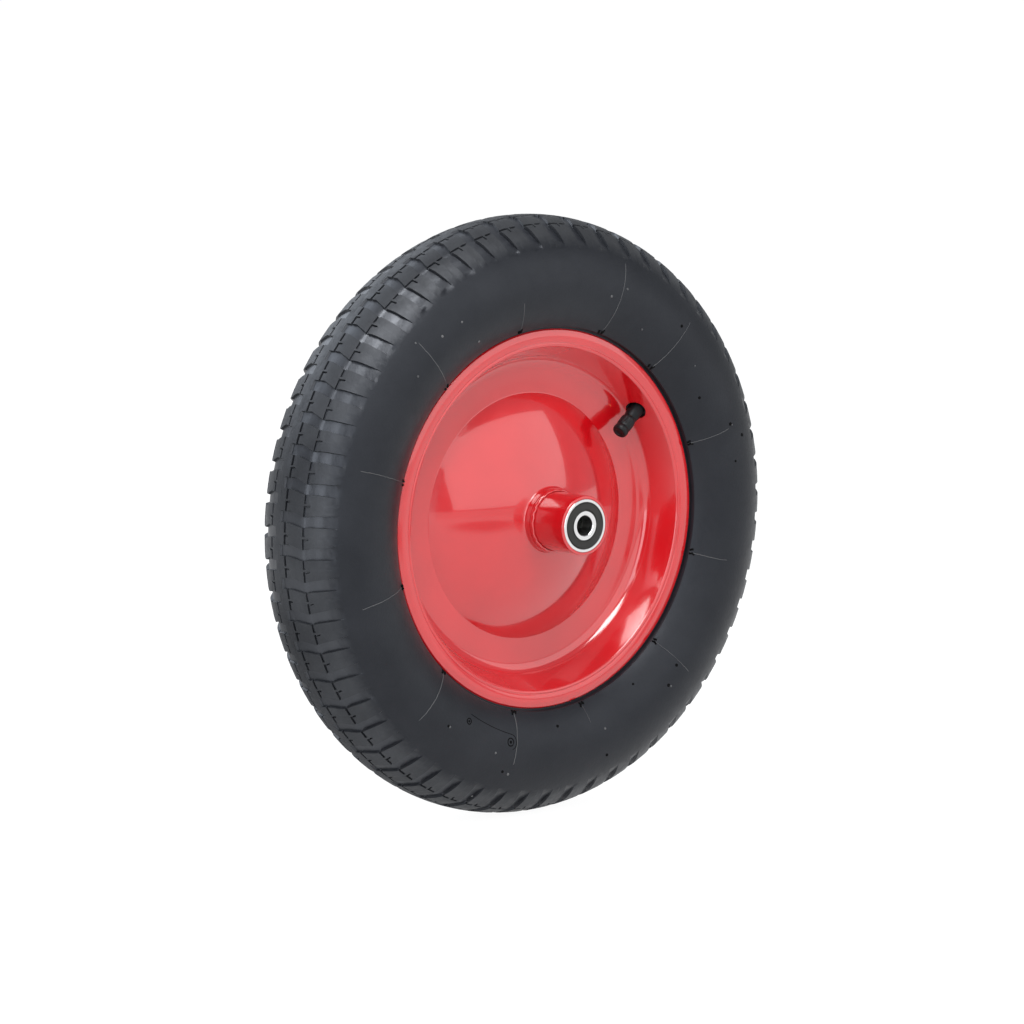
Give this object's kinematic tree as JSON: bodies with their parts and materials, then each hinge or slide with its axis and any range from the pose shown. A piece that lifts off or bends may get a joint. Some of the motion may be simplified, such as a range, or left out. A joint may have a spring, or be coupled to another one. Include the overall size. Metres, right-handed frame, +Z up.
{
  "type": "pneumatic wheel",
  "caption": "Pneumatic wheelbarrow wheel: block-tread tyre with inner tube on a red pressed steel rim, sealed ball bearings and a valve.",
  "frame": {"origin": "centre of the wheel, on the axle's axis and midway between the hub's ends", "axes": "+Y along the axle, away from the face with the valve; +Z up"},
  "size_m": [0.36, 0.12, 0.36],
  "materials": {
    "tyre_rubber": "satin black rubber",
    "tube_rubber": "smooth butyl rubber",
    "red_paint": "gloss red enamel",
    "bearing_steel": "ground bearing steel",
    "cage_steel": "pressed steel",
    "seal_rubber": "matt nitrile rubber",
    "plated_steel": "zinc plated steel",
    "stem_rubber": "matt black rubber",
    "valve_brass": "turned brass",
    "cap_plastic": "moulded black plastic"
  },
  "bodies": {
    "axle_sleeve": {"spacer_sleeve": "plated_steel", "inner_ring_front": "bearing_steel", "inner_ring_back": "bearing_steel"},
    "wheel": {"tyre": "tyre_rubber", "inner_tube": "tube_rubber", "rim_half_front": "red_paint", "rim_half_back": "red_paint", "hub_tube": "red_paint", "hub_weld_front": "red_paint", "hub_weld_back": "red_paint", "outer_ring_front": "bearing_steel", "outer_seal_front": "seal_rubber", "inner_seal_front": "seal_rubber", "outer_ring_back": "bearing_steel", "outer_seal_back": "seal_rubber", "inner_seal_back": "seal_rubber", "valve_stem": "stem_rubber", "valve_insert": "valve_brass", "valve_core": "valve_brass"},
    "balls_front": {"ball_set_front": "bearing_steel", "ball_cage_front": "cage_steel"},
    "balls_back": {"ball_set_back": "bearing_steel", "ball_cage_back": "cage_steel"},
    "cap": {"valve_cap": "cap_plastic"},
    "pin": {"valve_pin": "plated_steel"}
  },
  "joints": [
    {"name": "wheel_spin", "type": "hinge", "parent": "axle_sleeve", "child": "wheel", "pos_m": [0, 0, 0], "axis": [0, 1, 0], "continuous": true},
    {"name": "balls_front_spin", "type": "hinge", "parent": "axle_sleeve", "child": "balls_front", "pos_m": [0, -0.055, 0], "axis": [0, 1, 0], "continuous": true},
    {"name": "balls_back_spin", "type": "hinge", "parent": "axle_sleeve", "child": "balls_back", "pos_m": [0, 0.055, 0], "axis": [0, 1, 0], "continuous": true},
    {"name": "cap_off", "type": "slide", "parent": "wheel", "child": "cap", "axis": [-0.7939, -0.165, -0.5853], "range_m": [0, 0.0105]},
    {"name": "pin_press", "type": "slide", "parent": "wheel", "child": "pin", "axis": [0.7939, 0.165, 0.5853], "range_m": [0, 0.0015], "stiffness_N_per_m": 1500, "springref_m": -0.001}
  ],
  "couplings": [
    {"joint": "balls_front_spin", "follows": "wheel_spin", "ratio": 0.6353},
    {"joint": "balls_back_spin", "follows": "wheel_spin", "ratio": 0.6353}
  ]
}
